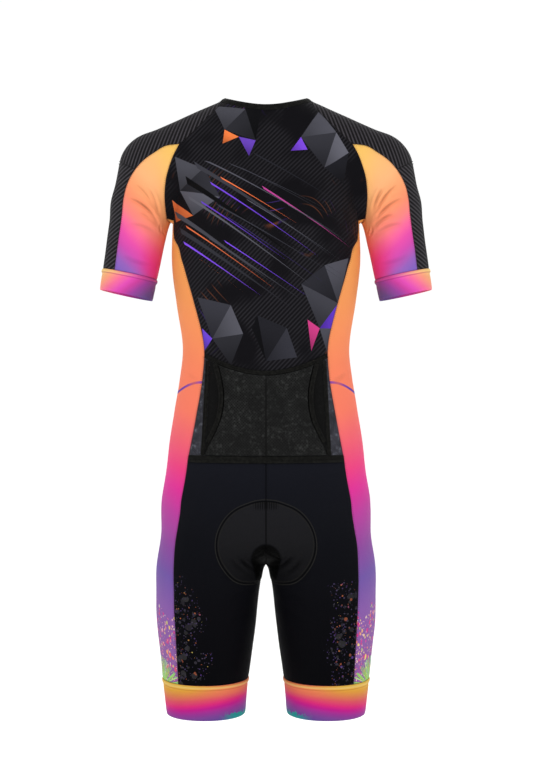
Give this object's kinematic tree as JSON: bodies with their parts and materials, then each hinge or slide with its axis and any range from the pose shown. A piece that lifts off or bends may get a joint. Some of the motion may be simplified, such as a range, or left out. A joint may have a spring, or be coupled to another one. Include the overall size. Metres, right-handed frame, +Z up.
{
  "type": "triathlon suit",
  "caption": "Short-sleeved one-piece triathlon suit in its worn shape, with raglan sleeves, elastic cuffs, a back pocket and a front zip.",
  "frame": {"origin": "middle of the neck opening, level with the shoulders beside the neck", "axes": "+X to the wearer's right, +Y the way the wearer faces, +Z up"},
  "size_m": [0.5306, 0.2496, 0.9744],
  "materials": {
    "print_cloth": "smooth stretch knit with a printed design",
    "pinstripe_cloth": "smooth stretch knit with fine grey stripes",
    "sleeve_gradient_cloth": "smooth stretch knit printed from orange to magenta",
    "side_gradient_cloth": "smooth stretch knit printed from orange by magenta to purple",
    "band_cloth": "elastic band printed from yellow by magenta to purple",
    "shorts_cloth": "matt black stretch knit",
    "back_mesh": "grey net-like knit",
    "pocket_mesh": "black net-like knit",
    "binding": "black elastic binding",
    "pad_cloth": "brushed fleece over foam",
    "zip_tape": "woven tape with a moulded chain",
    "zip_metal": "black enamel"
  },
  "bodies": {
    "suit": {"back_print_panel": "print_cloth", "lower_back_panel": "back_mesh", "pocket_lining": "pocket_mesh", "back_pocket": "pocket_mesh", "pocket_top_binding": "binding", "pocket_side_binding_right": "binding", "pocket_side_binding_left": "binding", "pocket_mouth_binding_right": "binding", "pocket_mouth_binding_left": "binding", "waist_tape": "binding", "seat_panel_right": "shorts_cloth", "seat_panel_left": "shorts_cloth", "thigh_panel_right": "shorts_cloth", "thigh_panel_left": "shorts_cloth", "side_panel_right": "side_gradient_cloth", "side_panel_left": "side_gradient_cloth", "chest_panel_right": "print_cloth", "chest_panel_left": "print_cloth", "front_zip": "zip_tape", "zip_slider": "zip_metal", "yoke_right": "pinstripe_cloth", "yoke_left": "pinstripe_cloth", "outer_sleeve_right": "pinstripe_cloth", "outer_sleeve_left": "pinstripe_cloth", "under_sleeve_right": "sleeve_gradient_cloth", "under_sleeve_left": "sleeve_gradient_cloth", "sleeve_cuff_right": "band_cloth", "sleeve_cuff_left": "band_cloth", "leg_band_right": "band_cloth", "leg_band_left": "band_cloth", "neck_binding": "binding", "seat_pad": "pad_cloth"},
    "pull_tab": {"zip_pull": "zip_metal"}
  },
  "joints": [
    {"name": "pull_tab_hinge", "type": "hinge", "parent": "suit", "child": "pull_tab", "pos_m": [0, 0.0815, -0.097], "axis": [1, 0, 0], "range_deg": [0, 150]}
  ]
}
